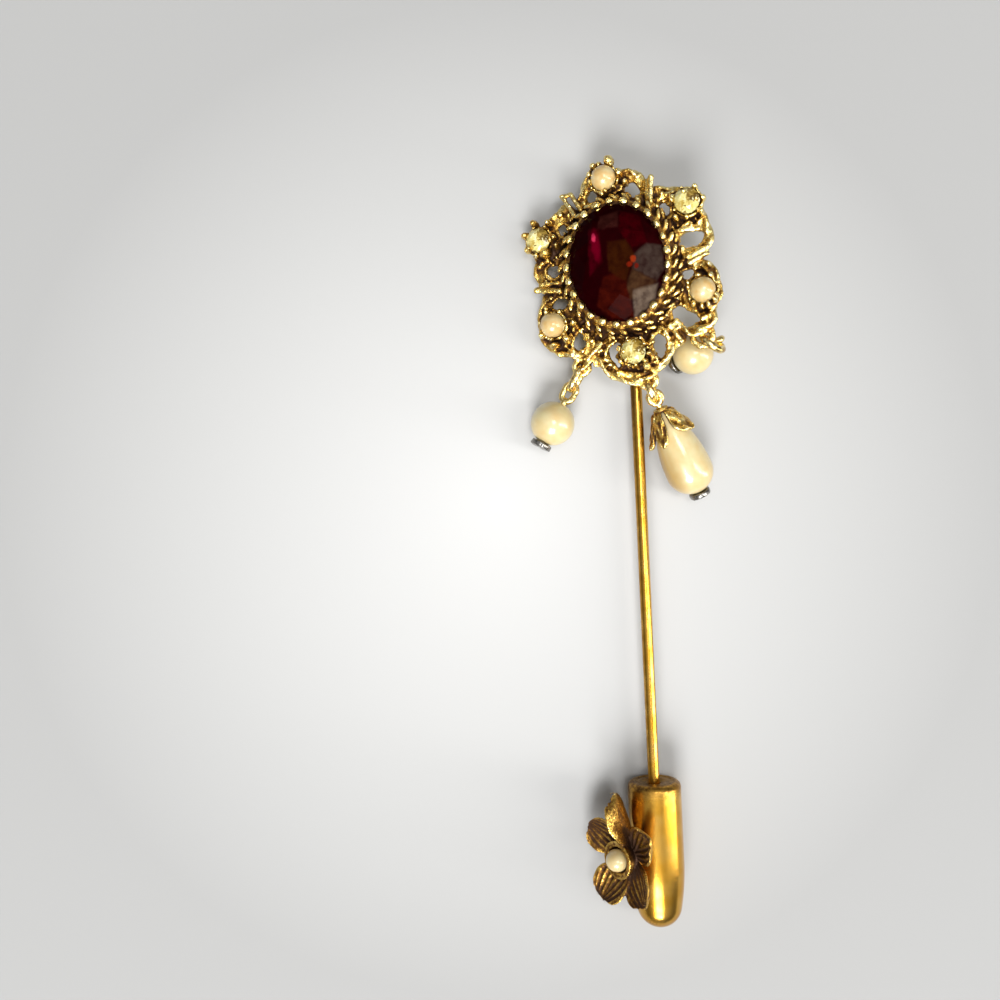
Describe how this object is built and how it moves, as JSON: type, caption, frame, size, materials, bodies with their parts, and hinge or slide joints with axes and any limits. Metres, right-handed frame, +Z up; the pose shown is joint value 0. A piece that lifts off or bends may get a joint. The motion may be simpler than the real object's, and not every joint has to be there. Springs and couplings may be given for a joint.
{
  "type": "stick pin",
  "caption": "Stick pin lying on its side: openwork gold head with a dark oval stone and pearl drops, long stem, and a sliding guard with a flower.",
  "frame": {"origin": "on the surface the pin lies on, below the middle of its box", "axes": "+Z up, +Y along the stem from the guard to the head, +X to the right of the head seen from above"},
  "size_m": [0.0165, 0.0637, 0.0075],
  "materials": {
    "gold": "antique gold plate, bright on the high places and brown in the recesses, smooth on the stem and guard",
    "dark_silver": "darkened silver wire",
    "pearl": "cream pearl with a soft lustre",
    "garnet": "faceted, nearly black with red flashes",
    "topaz": "faceted, pale yellow"
  },
  "bodies": {
    "pin": {"head_frame": "gold", "centre_stone": "garnet", "setting_pearl_1": "pearl", "setting_pearl_2": "pearl", "setting_pearl_3": "pearl", "setting_stone_1": "topaz", "setting_stone_2": "topaz", "setting_stone_3": "topaz", "stem": "gold", "left_link": "gold", "left_head_pin": "dark_silver", "left_pearl": "pearl", "middle_link": "gold", "middle_head_pin": "dark_silver", "middle_bead_cap": "gold", "middle_pearl": "pearl", "right_link": "gold", "right_head_pin": "dark_silver", "right_pearl": "pearl"},
    "guard": {"sheath": "gold", "flower_pearl": "pearl"}
  },
  "joints": [
    {"name": "sheath_slide", "type": "slide", "parent": "pin", "child": "guard", "axis": [0, -1, 0], "range_m": [0, 0.03]}
  ]
}
